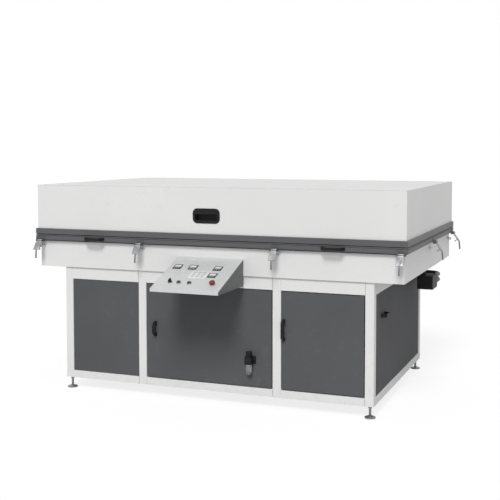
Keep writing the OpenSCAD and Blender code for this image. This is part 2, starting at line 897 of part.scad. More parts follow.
// Hinges on the rear axis: base ears outside, hood arms inside them, the frame's arm in the middle
ear_radius = 24;
base_ear = 44;
hood_ear = 24;
module rear_plate(x, thick) { translate([x, 0, 0]) rotate([90, 0, 90]) linear_extrude(thick) children(); }
module axis_hole(length) {
    translate([0, hinge_y, hinge_z]) rotate([0, 90, 0])
        cylinder(h = length, r = hinge_radius + running_gap, center = true);
}

module hinge_brackets() {
    drop = 70;
    low_side = ear_radius * 0.7;
    color("gray") seat() for (x = hinge_xs, e = [base_ear, -base_ear - ear_thick]) translate([x, 0, 0])
        difference() {
            rear_plate(e, ear_thick) {
                translate([hinge_y, hinge_z]) circle(ear_radius);
                polygon([[skirt_back, hinge_z - drop], [skirt_back, hinge_z - ear_radius],
                    [hinge_y - ear_radius, hinge_z], [hinge_y + low_side, hinge_z - low_side]]);
            }
            axis_hole(4 * base_ear);
        }
}

module hinge_pins() {
    head = 6;
    color("silver") seat() for (x = hinge_xs) translate([x, hinge_y, hinge_z]) rotate([0, 90, 0]) {
        cylinder(h = 2 * (base_ear + ear_thick), r = hinge_radius, center = true);
        for (s = [0, 1]) mirror([0, 0, s]) translate([0, 0, base_ear + ear_thick])
            cylinder(h = head, r = 1.5 * hinge_radius);
    }
}

// The frame's arms: a leaf on the rear bar, and at the outer hinges a slotted crank below the axis
module crank_slot() {
    room = lift_pin_radius + slot_room;
    near = crank_near - slot_spare;
    far = crank_far + slot_spare;
    for (d = [near, far]) translate([0, -d]) circle(room);
    translate([-room, -far]) square([2 * room, far - near]);
}

module frame_hinge_arms() {
    color("gray") seat() for (x = hinge_xs) translate([x, 0, 0]) difference() {
        rear_plate(-crank_thick / 2, crank_thick) {
            translate([hinge_y, hinge_z]) circle(ear_radius);
            polygon([[press_depth, band_low + 1], [press_depth, band_low + bar_height],
                [hinge_y, hinge_z + ear_radius], [hinge_y, hinge_z]]);
            if (x != 0) translate([hinge_y, hinge_z]) rotate(crank_swing) difference() {
                union() {
                    translate([-crank_width / 2, -crank_far]) square([crank_width, crank_far]);
                    translate([0, -crank_far]) circle(crank_end);
                }
                crank_slot();
            }
        }
        axis_hole(2 * crank_thick);
    }
}

module hood_hinge_arms() {
    for (x = hinge_xs, e = [hood_ear, -hood_ear - ear_thick]) translate([x, 0, 0]) difference() {
        rear_plate(e, ear_thick) {
            translate([hinge_y, hinge_z]) circle(ear_radius);
            polygon([[press_depth, hood_low + 2], [press_depth, shell_low - 2],
                [hinge_y + ear_radius, hinge_z], [hinge_y - ear_radius, hinge_z]]);
        }
        axis_hole(4 * base_ear);
    }
}

// Lift cylinders under the tray: square end caps, a barrel, and a rod with a piston and a fork
stroke = 2 * lift_reach;
cap_size = 70;
cap_thick = 30;
piston_thick = 20;
piston_gap = 3;
barrel_end = skirt_back - 92;
barrel_spare = 24;
barrel_wall = 4;
barrel_length = stroke + piston_thick + 2 * piston_gap + barrel_spare;
fork_front = 57;
fork_slot = 45;
fork_back = 16;
fork_half = crank_thick / 2 + 11;
fork_side = 16;
lift_out = hinge_y + lift_reach;
module rod_along(y, length, radius) {
    translate([0, y, 0]) rotate([-90, 0, 0]) cylinder(h = length, r = radius);
}

module lift_cylinders() {
    low = barrel_end - 2 * cap_thick - barrel_length;
    half = cap_size / 2;
    color("silver") seat() for (s = [-1, 1]) translate([s * hinge_half, 0, lift_z]) difference() {
        union() {
            for (y = [low, barrel_end - cap_thick])
                block([-half, y, -half], [half, y + cap_thick, tray_low - lift_z]);
            rod_along(low, barrel_length + cap_thick, bore_radius + barrel_wall);
        }
        rod_along(low + cap_thick, barrel_length, bore_radius);
        rod_along(low + cap_thick, barrel_length + 2 * cap_thick, rod_radius + running_gap);
    }
}

module lift_rod(side) {
    start = barrel_end - cap_thick - piston_gap - piston_thick;
    slot = crank_thick / 2 + body_gap;
    color("silver") seat() translate([side * hinge_half, 0, lift_z]) {
        rod_along(start, piston_thick, bore_radius - running_gap);
        rod_along(start, lift_out - fork_front - start + 1, rod_radius);
        difference() {
            block([-fork_half, lift_out - fork_front, -fork_side],
                [fork_half, lift_out + fork_back, fork_side]);
            block([-slot, lift_out - fork_slot, -fork_side - 1],
                [slot, lift_out + fork_back + 1, fork_side + 1]);
        }
        translate([0, lift_out, 0]) rotate([0, 90, 0])
            cylinder(h = 2 * fork_half, r = lift_pin_radius, center = true);
    }
}

module lift_rod_left() { lift_rod(-1); }
module lift_rod_right() { lift_rod(1); }

// Membrane frame
module membrane_frame() {
    color("dimgray") seat() band_ring(band_low, band_low + bar_height);
}

membrane_inset = 8;
module membrane() {
    low = band_low + bar_height;
    color("lightgray") seat() block([membrane_inset - band_x, membrane_inset, low],
        [band_x - membrane_inset, press_depth - membrane_inset, low + membrane_thick]);
}

module membrane_strips() {
    low = band_low + bar_height + membrane_thick;
    color("dimgray") seat() strip_ring(0, bar_width, low, low + strip_thick);
}

frame_handle_x = 9 / 14 * band_x;
frame_handle_length = 165;
frame_handle_reach = 44;
frame_handle_width = 20;
frame_handle_z = band_low + bar_height - frame_handle_width / 2 - 1;
module frame_handles() {
    color("black") seat() for (s = [-1, 1]) translate([s * frame_handle_x, 0, frame_handle_z])
        bridge_handle(frame_handle_length, frame_handle_reach, frame_handle_width);
}

// Latches: a bracket on the frame, a hook plate with a grip, and a keeper on the skirt
latch_out = 17;
latch_up = -2;
latch_hub = 8;
hub_half = 20;
latch_ear = 6;
latch_side_gap = 0.4;
latch_plate = 5;
latch_root = 20;
grip_radius = 6;
grip_lean = 5;
bracket_wide = 12;
bracket_plate = 4;
bracket_margin = 2;
claw_drop = 56;
claw_reach = 30;
claw_plate = 6;
module latch_place(place) {
    translate([place.x, place.y, band_low]) rotate([0, 0, place.z]) children();
}

module latch_brackets() {
    ear = latch_hub + 2;
    color("gray") seat() for (place = latch_places) latch_place(place) {
        difference() {
            union() {
                block([-hub_half - bracket_wide, -bracket_plate, latch_up - ear],
                    [hub_half + bracket_wide, 0, bar_height - bracket_margin]);
                for (s = [0, 1]) mirror([s, 0, 0]) translate([hub_half + latch_side_gap, 0, 0])
                    rotate([90, 0, 90]) linear_extrude(latch_ear) {
                        translate([-latch_out, latch_up]) circle(ear);
                        translate([-latch_out, latch_up - ear]) square([latch_out, 2 * ear]);
                    }
            }
            translate([0, -latch_out, latch_up]) rotate([0, 90, 0])
                cylinder(h = 4 * hub_half, r = latch_pin_radius + running_gap, center = true);
        }
        translate([0, -latch_out, latch_up]) rotate([0, 90, 0])
            cylinder(h = 2 * (hub_half + latch_side_gap + latch_ear), r = latch_pin_radius, center = true);
    }
}

module latch(place) {
    half = latch_plate / 2;
    bore = latch_pin_radius + running_gap;
    color("silver") seat() latch_place(place)
        translate([0, -latch_out, latch_up]) rotate([-latch_angle, 0, 0]) difference() {
            union() {
                rotate([0, 90, 0]) cylinder(h = 2 * hub_half, r = latch_hub, center = true);
                block([-hub_half, -half, -latch_root], [hub_half, half, 0]);
                block([-latch_width / 2, -half, -latch_length], [latch_width / 2, half, 2 - latch_root]);
                block([-latch_width / 4, 0, -claw_drop - claw_plate],
                    [latch_width / 4, claw_reach, -claw_drop]);
                translate([0, 0, 2 - latch_length]) rotate([latch_angle - grip_lean, 0, 0])
                    translate([0, 0, -latch_grip]) cylinder(h = latch_grip, r = grip_radius);
            }
            rotate([0, 90, 0]) cylinder(h = 4 * hub_half, r = bore, center = true);
        }
}

module latch_front_left() { latch(latch_places[0]); }
module latch_front_right() { latch(latch_places[1]); }
module latch_right_front() { latch(latch_places[2]); }
module latch_right_middle() { latch(latch_places[3]); }
module latch_right_rear() { latch(latch_places[4]); }
module latch_left_front() { latch(latch_places[5]); }
module latch_left_middle() { latch(latch_places[6]); }
module latch_left_rear() { latch(latch_places[7]); }

keeper_rise = 18;
keeper_gap = 2;
keeper_front = 2;
module latch_keepers() {
    low = latch_up - claw_drop + keeper_gap;
    for (place = latch_places) latch_place(place)
        block([-latch_width / 4, keeper_front, low],
            [latch_width / 4, skirt_inset - butt_gap, low + keeper_rise]);
}

// Hood
module hood_frame() {
    color("dimgray") seat() {
        band_ring(hood_low, shell_low);
        hood_hinge_arms();
    }
}

hood_seal_inset = 6;
hood_seal_width = 20;
module hood_seal() {
    color("black") seat() strip_ring(hood_seal_inset, hood_seal_width, hood_low - seam + body_gap, hood_low);
}

pull_x = -15;
pull_rise = 122;
pull_z = shell_low + pull_rise;
pull_lip = 16;
pull_rim = 4;
pull_corner = 34;
pull_wall = 3;
finger_lip = 24;
pocket_width = pull_width - 2 * pull_lip;
pocket_height = pull_height - 2 * pull_lip;
module hood_shell() {
    x = band_x - hood_inset;
    y0 = hood_inset;
    y1 = press_depth - hood_inset;
    roof = hood_top - hood_sheet;
    color("whitesmoke") seat() {
        difference() {
            block([-x, y0, shell_low], [x, y0 + hood_sheet, roof]);
            translate([pull_x, y0, pull_z])
                cube([pocket_width, 4 * hood_sheet, pocket_height], center = true);
        }
        block([-x, y1 - hood_sheet, shell_low], [x, y1, roof]);
        for (s = [0, 1]) mirror([s, 0, 0]) block([x - hood_sheet, y0 + hood_sheet + butt_gap, shell_low],
            [x, y1 - hood_sheet - butt_gap, roof]);
        block([-x, y0, roof + butt_gap], [x, y1, hood_top]);
    }
}

module rounded_plate(size, corner) {
    inner = size / 2 - [corner, corner];
    square([size.x, 2 * inner.y], center = true);
    square([2 * inner.x, size.y], center = true);
    for (x = [-1, 1], y = [-1, 1]) translate([x * inner.x, y * inner.y]) circle(corner);
}

module hood_pull() {
    w = pocket_width / 2;
    h = pocket_height / 2;
    inner_w = w - pull_wall;
    inner_h = h - pull_wall;
    color("black") seat() translate([pull_x, hood_inset, pull_z]) difference() {
        union() {
            rotate([90, 0, 0]) linear_extrude(pull_rim)
                rounded_plate([pull_width, pull_height], pull_corner);
            block([-w, -pull_rim, -h], [w, pull_depth, h]);
        }
        block([-inner_w, 0, -inner_h], [inner_w, pull_depth - pull_wall, inner_h]);
        block([-inner_w, -pull_rim - 1, -inner_h], [inner_w, 1, h - finger_lip]);
    }
}

// Inside the hood: insulation with its reflector, two carrier rails, and the heater tubes between them
room_x = band_x - hood_inset - hood_sheet;
room_front = hood_inset + hood_sheet;
room_back = press_depth - room_front;
lining_low = hood_top - hood_sheet - insulation;
heater_z = lining_low - heater_drop;
carrier_inset = 40;
carrier_width = 30;
carrier_half = 15;
heater_margin = 100;
module hood_insulation() {
    color("khaki") seat() block([-room_x, room_front, lining_low],
        [room_x, room_back, hood_top - hood_sheet + butt_gap]);
}

module heater_rails() {
    back = room_back - carrier_inset - carrier_width;
    color("silver") seat() for (y = [room_front + carrier_inset, back]) {
        block([-room_x, y, heater_z - carrier_half], [room_x, y + carrier_width, heater_z + carrier_half]);
        for (x = [-room_x / 2, 0, room_x / 2])
            block([x - carrier_half, y, heater_z], [x + carrier_half, y + carrier_width, lining_low]);
    }
}

module heater_tubes() {
    pitch = 2 * (room_x - heater_margin) / (heater_count - 1);
    start = room_front + carrier_inset + carrier_width;
    color("mistyrose") seat() for (i = [0:heater_count - 1])
        translate([i * pitch - room_x + heater_margin, start, heater_z]) rotate([-90, 0, 0])
        cylinder(h = room_back - start - carrier_inset - carrier_width, r = heater_radius);
}

frame_posts();
frame_rails();
foot_pads();
foot_studs();
floor_shelf();
fixed_panels();
end_handles();
centre_door();
centre_door_handle();
right_door();
right_door_handle();
regulator();
regulator_bowl();
regulator_knob();
table_skirt();
table_rim();
table_tray();
table_bearers();
bed_plate();
table_seal();
console_box();
control_panel();
displays();
keypad();
button_bezels();
start_button();
stop_button();
emergency_stop();
mode_selector();
vacuum_block();
vacuum_pipes();
vacuum_tank();
vacuum_pump();
electrical_panel();
hinge_brackets();
hinge_pins();
lift_cylinders();
lift_rod_left();
lift_rod_right();
membrane_frame();
membrane();
membrane_strips();
frame_handles();
frame_hinge_arms();
latch_brackets();
latch_front_left();
latch_front_right();
latch_right_front();
latch_right_middle();
latch_right_rear();
latch_left_front();
latch_left_middle();
latch_left_rear();
hood_frame();
hood_seal();
hood_shell();
hood_pull();
hood_insulation();
heater_rails();
heater_tubes();
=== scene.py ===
import json
import math

import bmesh
import bpy
from mathutils import Matrix, Vector


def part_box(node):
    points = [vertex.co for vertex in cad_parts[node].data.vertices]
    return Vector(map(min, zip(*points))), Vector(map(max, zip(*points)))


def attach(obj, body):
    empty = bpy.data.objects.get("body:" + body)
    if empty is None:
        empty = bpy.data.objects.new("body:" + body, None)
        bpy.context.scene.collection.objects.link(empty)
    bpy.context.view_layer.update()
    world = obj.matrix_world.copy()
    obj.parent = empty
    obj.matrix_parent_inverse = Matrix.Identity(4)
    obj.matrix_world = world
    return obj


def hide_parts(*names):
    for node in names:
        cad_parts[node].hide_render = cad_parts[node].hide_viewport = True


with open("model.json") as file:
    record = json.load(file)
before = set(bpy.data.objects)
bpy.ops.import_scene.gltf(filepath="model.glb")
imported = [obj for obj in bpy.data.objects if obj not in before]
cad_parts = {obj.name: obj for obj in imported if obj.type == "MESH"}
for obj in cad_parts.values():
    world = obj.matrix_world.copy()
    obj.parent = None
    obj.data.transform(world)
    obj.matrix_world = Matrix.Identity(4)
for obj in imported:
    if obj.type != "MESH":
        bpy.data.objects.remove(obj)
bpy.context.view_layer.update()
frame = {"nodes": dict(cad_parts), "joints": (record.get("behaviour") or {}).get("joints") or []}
nodes = frame["nodes"]
scene = bpy.context.scene
print("frame loaded:", len(nodes), "nodes")

# camera, measured from the middle of the band's front edge on the floor
viewpoint = {
    "offset": (2.561, -5.697, 1.741),
    "turn": 20.843,
    "tip": 3.0,
    "focalPixels": 928.7,
    "levelCentre": (262.0, 147.5),
    "imageSize": 500.0,
    "sensor": 36.0,
    "reach": 200.0,
}


def placeCamera(v):
    data = bpy.data.cameras.new("viewCamera")
    data.sensor_width = v["sensor"]
    data.lens = v["focalPixels"] / v["imageSize"] * v["sensor"]
    half = v["imageSize"] / 2
    drop = v["focalPixels"] * math.tan(math.radians(v["tip"]))
    data.shift_x = (half - v["levelCentre"][0]) / v["imageSize"]
    data.shift_y = (v["levelCentre"][1] + drop - half) / v["imageSize"]
    data.clip_end = v["reach"]
    camera = bpy.data.objects.new("viewCamera", data)
    scene.collection.objects.link(camera)
    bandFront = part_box("membrane_frame")[0].y
    camera.location = Vector(v["offset"]) + Vector((0, bandFront, 0))
    camera.rotation_euler = (math.radians(90 - v["tip"]), 0, math.radians(v["turn"]))
    scene.camera = camera


placeCamera(viewpoint)
print("camera placed")


# shader helpers: a wire is a socket that takes sums, and a board's add makes any other node
class Wire:
    def __init__(self, tree, socket):
        self.tree = tree
        self.socket = socket

    def calc(self, operation, other, swapped=False):
        maths = self.tree.nodes.new("ShaderNodeMath")
        maths.operation = operation
        pair = (other, self) if swapped else (self, other)
        for slot, value in zip(maths.inputs, pair):
            feed(self.tree, slot, value)
        return Wire(self.tree, maths.outputs[0])

    def __add__(self, other):
        return self.calc("ADD", other)

    def __radd__(self, other):
        return self.calc("ADD", other, True)

    def __sub__(self, other):
        return self.calc("SUBTRACT", other)

    def __rsub__(self, other):
        return self.calc("SUBTRACT", other, True)

    def __mul__(self, other):
        return self.calc("MULTIPLY", other)

    def __rmul__(self, other):
        return self.calc("MULTIPLY", other, True)

    def __gt__(self, other):
        return self.calc("GREATER_THAN", other)

    def __lt__(self, other):
        return self.calc("LESS_THAN", other)


def feed(tree, slot, value):
    if isinstance(value, Wire):
        tree.links.new(value.socket, slot)
    else:
        slot.default_value = value


class Board:
    def __init__(self, tree):
        self.tree = tree

    def add(self, kind, settings=None, sockets=None, outlet=0):
        node = self.tree.nodes.new("ShaderNode" + kind)
        for key, value in (settings or {}).items():
            setattr(node, key, value)
        for key, value in (sockets or {}).items():
            feed(self.tree, node.inputs[key], value)
        return Wire(self.tree, node.outputs[outlet])

    def find(self, kind):
        return next(node for node in self.tree.nodes if node.type == kind)

    def seenBy(self, *rays):
        seen = self.add("LightPath", outlet=rays[0])
        for ray in rays[1:]:
            seen = seen.calc("MAXIMUM", self.add("LightPath", outlet=ray))
        return seen


# how far a rounded normal turns from the face's own, as a dot product, on a worn edge
edgeWear = {"samples": 4, "bare": 0.80, "coated": 0.985}
bandScale = 0.31  # a wave texture's scale for bands one metre apart
noiseMiddle = 0.5  # what a noise gives on average


class Finish(Board):
    def __init__(self, name, constants):
        self.material = bpy.data.materials.new(name)
        self.material.use_nodes = True
        super().__init__(self.material.node_tree)
        self.shader = self.find("BSDF_PRINCIPLED")
        self.put(constants)
        self.place = self.add("TexCoord", outlet="Object")

    def put(self, sockets):
        for key, value in sockets.items():
            feed(self.tree, self.shader.inputs[key], value)

    def noise(self, scale, detail, rough, place=None):
        sockets = {"Vector": place or self.place, "Scale": scale, "Detail": detail, "Roughness": rough}
        return self.add("TexNoise", sockets=sockets, outlet="Fac")

    def bands(self, direction, pitch, waver):
        settings = {"wave_type": "BANDS", "bands_direction": direction}
        sockets = {"Vector": self.place, "Scale": bandScale / pitch, "Distortion": waver}
        return self.add("TexWave", settings, sockets, "Fac")

    def spread(self, value, low, high, toLow=0.0, toHigh=1.0):
        sockets = {"Value": value, "From Min": low, "From Max": high, "To Min": toLow, "To Max": toHigh}
        return self.add("MapRange", {"clamp": True}, sockets)

    def stretch(self, scale):
        return self.add("Mapping", {"vector_type": "POINT"}, {"Vector": self.place, "Scale": scale})

    def blend(self, factor, first, second):
        settings = {"data_type": "RGBA", "blend_type": "MIX"}
        return self.add("Mix", settings, {0: factor, 6: first, 7: second}, 2)  # its colour sockets

    def axis(self, name):
        return self.add("SeparateXYZ", sockets={0: self.place}, outlet=name)

    def facing(self, name):
        normal = self.add("NewGeometry", outlet="Normal")
        return self.add("SeparateXYZ", sockets={0: normal}, outlet=name)

    def worn(self, radius):
        plain = self.add("NewGeometry", outlet="Normal")
        soft = self.add("Bevel", {"samples": edgeWear["samples"]}, {"Radius": radius})
        same = self.add("VectorMath", {"operation": "DOT_PRODUCT"}, {0: plain, 1: soft}, "Value")
        return self.spread(same, edgeWear["bare"], edgeWear["coated"], 1.0, 0.0)

    def bump(self, height, depth, strength=0.6):
        sockets = {"Height": height, "Distance": depth, "Strength": strength}
        self.put({"Normal": self.add("Bump", sockets=sockets, outlet="Normal")})


def shade(colour, gain=1.0):
    return (colour[0] * gain, colour[1] * gain, colour[2] * gain, 1.0)


# in the finishes a noise is its scale, detail and roughness, and a span is where its mask starts and is full
# powder coats: colours are linear, peel is the grain in metres
powderCoats = {
    "whitePowder": {
        "colour": (0.79, 0.79, 0.785), "change": 0.025, "rough": 0.4, "gloss": 0.28,
        "peel": 0.0016, "depth": 0.00006, "wear": 0.35, "bare": (0.45, 0.45, 0.44)},
    "darkPowder": {
        "colour": (0.104, 0.106, 0.110), "change": 0.08, "rough": 0.6, "gloss": 0.06,
        "peel": 0.0011, "depth": 0.00012, "wear": 0.4, "bare": (0.26, 0.26, 0.27)},
    "bandPowder": {
        "colour": (0.116, 0.117, 0.121), "change": 0.07, "rough": 0.42, "gloss": 0.25,
        "peel": 0.0013, "depth": 0.00008, "wear": 0.45, "bare": (0.3, 0.3, 0.31)},
    "consolePowder": {
        "colour": (0.158, 0.160, 0.163), "change": 0.06, "rough": 0.46, "gloss": 0.25,
        "peel": 0.0012, "depth": 0.0001, "wear": 0.4, "bare": (0.3, 0.3, 0.31)},
    "innerPowder": {
        "colour": (0.30, 0.305, 0.31), "change": 0.06, "rough": 0.5, "gloss": 0.35,
        "peel": 0.0014, "depth": 0.0001, "wear": 0.3, "bare": (0.42, 0.42, 0.43)},
    "earPowder": {
        "colour": (0.10, 0.102, 0.106), "change": 0.08, "rough": 0.45, "gloss": 0.25,
        "peel": 0.0012, "depth": 0.0001, "wear": 0.5, "bare": (0.34, 0.34, 0.35)},
    "pumpEnamel": {
        "colour": (0.07, 0.14, 0.24), "change": 0.1, "rough": 0.34, "gloss": 0.5,
        "peel": 0.004, "depth": 0.0004, "wear": 0.4, "bare": (0.25, 0.28, 0.32)},
}
# dust settles on faces that look up, and floor dirt climbs the lowest hand's breadth
powderAge = {
    "clouds": (1.3, 4.0, 0.55), "cloudSpan": (0.3, 0.7),
    "mottles": (19.0, 5.0, 0.62), "mottleRough": 0.10,
    "peel": (2.0, 0.4), "grain": (1.0, 0.5), "grainFiner": 2.7, "grainShare": 0.4,
    "rub": 0.10, "rubColour": (0.33, 0.31, 0.28, 1), "rubSpan": (0.56, 0.74), "rubWithin": (0.42, 0.62),
    "dust": 0.10, "dustColour": (0.46, 0.45, 0.43, 1), "dustSpan": (0.35, 0.75), "dustSlope": (0.7, 0.98),
    "splash": 0.11, "splashColour": (0.24, 0.22, 0.19, 1), "splashSpan": (0.4, 0.7),
    "splashTop": (0.02, 0.26), "edge": 0.004, "edgeSpan": (0.5, 0.68),
    "dustRough": 0.12, "splashRough": 0.15, "edgeRough": 0.1,
}


def powderFinish(name, look, age):
    f = Finish(name, {"Specular IOR Level": look["gloss"]})
    cloud = f.noise(*age["clouds"])
    mottle = f.noise(*age["mottles"])
    peel = f.noise(1 / look["peel"], *age["peel"])
    grain = f.noise(age["grainFiner"] / look["peel"], *age["grain"])
    darker, paler = shade(look["colour"], 1 - look["change"]), shade(look["colour"], 1 + look["change"])
    base = f.blend(f.spread(cloud, *age["cloudSpan"]), darker, paler)
    rubbed = f.spread(mottle, *age["rubSpan"]) * f.spread(cloud, *age["rubWithin"])
    base = f.blend(rubbed * age["rub"], base, age["rubColour"])
    dust = f.spread(f.facing("Z"), *age["dustSlope"]) * f.spread(mottle, *age["dustSpan"])
    splash = f.spread(f.axis("Z"), *age["splashTop"], 1.0, 0.0) * f.spread(mottle, *age["splashSpan"])
    base = f.blend(dust * age["dust"], base, age["dustColour"])
    base = f.blend(splash * age["splash"], base, age["splashColour"])
    worn = f.worn(age["edge"]) * f.spread(mottle, *age["edgeSpan"])
    base = f.blend(worn * look["wear"], base, shade(look["bare"]))
    rough = look["rough"] + (mottle - noiseMiddle) * age["mottleRough"]
    rough = rough + dust * age["dustRough"] + splash * age["splashRough"] - worn * age["edgeRough"]
    f.put({"Base Color": base, "Roughness": rough})
    f.bump(peel + grain * age["grainShare"], look["depth"])
    return f.material


# bare metals: grain stretches the brush marks, cells are the spangles of a dipped coat
metals = {
    "zincPlate": {
        "colour": (0.31, 0.315, 0.32), "rough": 0.44, "grain": (90, 90, 14), "cells": 0, "metal": 0.92},
    "brushedPanel": {
        "colour": (0.72, 0.725, 0.73), "rough": 0.42, "grain": (6, 420, 420), "cells": 0, "metal": 0.25},
    "galvanised": {
        "colour": (0.56, 0.57, 0.585), "rough": 0.46, "grain": (40, 40, 40), "cells": 34, "metal": 0.92},
    "turnedSteel": {
        "colour": (0.62, 0.62, 0.63), "rough": 0.24, "grain": (500, 30, 500), "cells": 0, "metal": 0.92},
    "reflector": {
        "colour": (0.78, 0.78, 0.78), "rough": 0.22, "grain": (8, 8, 8), "cells": 0, "metal": 0.92},
}
metalAge = {
    "brushed": {"Anisotropic": 0.35}, "dark": 0.82, "pale": 1.10, "cellShare": 0.6, "depth": 0.00008,
    "streaks": (1.0, 3.0, 0.6), "streakSpan": (0.25, 0.75), "streakRough": 0.14,
    "smears": (7.0, 5.0, 0.6), "smearShare": 0.3,
    "stain": 0.25, "stainSpan": (0.58, 0.8), "stainColour": (0.30, 0.29, 0.27, 1),
    "stainRough": 0.15, "stainMetal": 0.2,
}


def metalFinish(name, look, age):
    f = Finish(name, age["brushed"])
    streak = f.noise(*age["streaks"], f.stretch(look["grain"]))
    smear = f.noise(*age["smears"])
    tone = f.spread(streak, *age["streakSpan"])
    if look["cells"]:
        cell = f.add("TexVoronoi", {"feature": "F1"}, {"Vector": f.place, "Scale": look["cells"]}, "Color")
        shine = f.add("SeparateColor", sockets={0: cell})
        tone = tone * (1 - age["cellShare"]) + shine * age["cellShare"]
    base = f.blend(tone, shade(look["colour"], age["dark"]), shade(look["colour"], age["pale"]))
    stain = f.spread(smear, *age["stainSpan"])
    base = f.blend(stain * age["stain"], base, age["stainColour"])
    rough = look["rough"] + (tone - noiseMiddle) * age["streakRough"] + stain * age["stainRough"]
    f.put({"Base Color": base, "Metallic": look["metal"] - stain * age["stainMetal"], "Roughness": rough})
    f.bump(streak + smear * age["smearShare"], age["depth"])
    return f.material


# moulded, rubber and film finishes: grain in metres, bloom is the grey left by hands
mouldings = {
    "blackPlastic": {
        "colour": (0.013, 0.013, 0.014), "rough": 0.46, "gloss": 0.2,
        "grain": 0.0009, "depth": 0.00008, "bloom": 0.05},
    "sealRubber": {
        "colour": (0.009, 0.009, 0.009), "rough": 0.74, "gloss": 0.15,
        "grain": 0.0014, "depth": 0.00014, "bloom": 0.08},
    "pipePlastic": {
        "colour": (0.013, 0.013, 0.014), "rough": 0.36, "gloss": 0.3,
        "grain": 0.0016, "depth": 0.00006, "bloom": 0.07},
    "keypadFilm": {
        "colour": (0.80, 0.80, 0.795), "rough": 0.4, "gloss": 0.4,
        "grain": 0.0007, "depth": 0.00003, "bloom": 0.03},
    "keyFilm": {
        "colour": (0.52, 0.525, 0.53), "rough": 0.38, "gloss": 0.4,
        "grain": 0.0007, "depth": 0.00003, "bloom": 0.03},
    "buttonGloss": {
        "colour": (0.035, 0.035, 0.036), "rough": 0.22, "gloss": 0.4,
        "grain": 0.003, "depth": 0.00002, "bloom": 0.03},
    "stopRed": {
        "colour": (0.20, 0.022, 0.018), "rough": 0.28, "gloss": 0.4,
        "grain": 0.003, "depth": 0.00002, "bloom": 0.03},
    "displayGlass": {
        "colour": (0.03, 0.03, 0.033), "rough": 0.16, "gloss": 0.4,
        "grain": 0.01, "depth": 0.00001, "bloom": 0.02},
    "displayWindow": {
        "colour": (0.72, 0.74, 0.72), "rough": 0.2, "gloss": 0.4,
        "grain": 0.001, "depth": 0.00001, "bloom": 0.02},
}
mouldAge = {
    "clouds": (4.0, 3.0, 0.5), "cloudSpan": (0.3, 0.7), "dark": 0.88, "pale": 1.14,
    "touches": (26.0, 4.0, 0.6), "touchSpan": (0.55, 0.8), "touchRough": 0.16,
    "bloomColour": (0.30, 0.30, 0.30, 1), "grain": (2.0, 0.55), "grainRough": 0.06,
}


def mouldFinish(name, look, age):
    f = Finish(name, {"Specular IOR Level": look["gloss"]})
    grain = f.noise(1 / look["grain"], *age["grain"])
    handled = f.noise(*age["touches"])
    cloud = f.noise(*age["clouds"])
    darker, paler = shade(look["colour"], age["dark"]), shade(look["colour"], age["pale"])
    base = f.blend(f.spread(cloud, *age["cloudSpan"]), darker, paler)
    base = f.blend(f.spread(handled, *age["touchSpan"]) * look["bloom"], base, age["bloomColour"])
    rough = look["rough"] + (handled - noiseMiddle) * age["touchRough"]
    rough = rough + (grain - noiseMiddle) * age["grainRough"]
    f.put({"Base Color": base, "Roughness": rough})
    f.bump(grain, look["depth"])
    return f.material


# silicone membrane: a fine pressed weave, cloudy with use
membraneLook = {
    "colour": (0.50, 0.47, 0.43), "dark": 0.86, "pale": 1.12, "rough": 0.38,
    "clouds": (1.6, 5.0, 0.6), "cloudSpan": (0.3, 0.7), "cloudRough": 0.16,
    "presses": (9.0, 4.0, 0.6), "pressSpan": (0.56, 0.78), "press": 0.2, "pressColour": (0.62, 0.60, 0.57, 1),
    "weave": 0.0022, "waver": 0.6, "depth": 0.00012, "strength": 0.5,
    "glow": {"Subsurface Weight": 0.12, "Subsurface Scale": 0.004},
}


def membraneFinish(look):
    f = Finish("membraneSilicone", look["glow"])
    warp = f.bands("X", look["weave"], look["waver"])
    weft = f.bands("Y", look["weave"], look["waver"])
    cloud = f.noise(*look["clouds"])
    pressed = f.noise(*look["presses"])
    darker, paler = shade(look["colour"], look["dark"]), shade(look["colour"], look["pale"])
    base = f.blend(f.spread(cloud, *look["cloudSpan"]), darker, paler)
    base = f.blend(f.spread(pressed, *look["pressSpan"]) * look["press"], base, look["pressColour"])
    rough = look["rough"] + (cloud - noiseMiddle) * look["cloudRough"]
    f.put({"Base Color": base, "Roughness": rough})
    f.bump(warp + weft, look["depth"], look["strength"])
    return f.material


# quartz tubes with white ceramic ends and a dark coil inside
heaterLook = {
    "quartz": (0.78, 0.75, 0.71), "ceramic": (0.80, 0.78, 0.73), "coil": (0.30, 0.25, 0.22),
    "end": 0.06, "endRough": 0.45, "rough": 0.16,
    "turn": 0.009, "waver": 0.4, "coilSpan": (0.35, 0.75), "depth": 0.0001, "strength": 0.4,
    "milk": (14.0, 4.0, 0.6), "milkSpan": (0.45, 0.75), "milkShare": 0.35, "milkGain": 0.8, "milkRough": 0.1,
    "coat": {"Coat Weight": 0.4, "Coat Roughness": 0.1},
}


def heaterFinish(look):
    f = Finish("heaterQuartz", look["coat"])
    low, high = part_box("heater_tubes")
    along = f.axis("Y")
    ends = (along < low.y + look["end"]) + (along > high.y - look["end"])
    coil = f.bands("Y", look["turn"], look["waver"])
    milky = f.noise(*look["milk"])
    body = f.blend(f.spread(coil, *look["coilSpan"]), shade(look["coil"]), shade(look["quartz"]))
    clouded = f.spread(milky, *look["milkSpan"]) * look["milkShare"]
    body = f.blend(clouded, body, shade(look["quartz"], look["milkGain"]))
    base = f.blend(ends, body, shade(look["ceramic"]))
    rough = look["rough"] + ends * look["endRough"] + (milky - noiseMiddle) * look["milkRough"]
    f.put({"Base Color": base, "Roughness": rough})
    f.bump(coil, look["depth"], look["strength"])
    return f.material


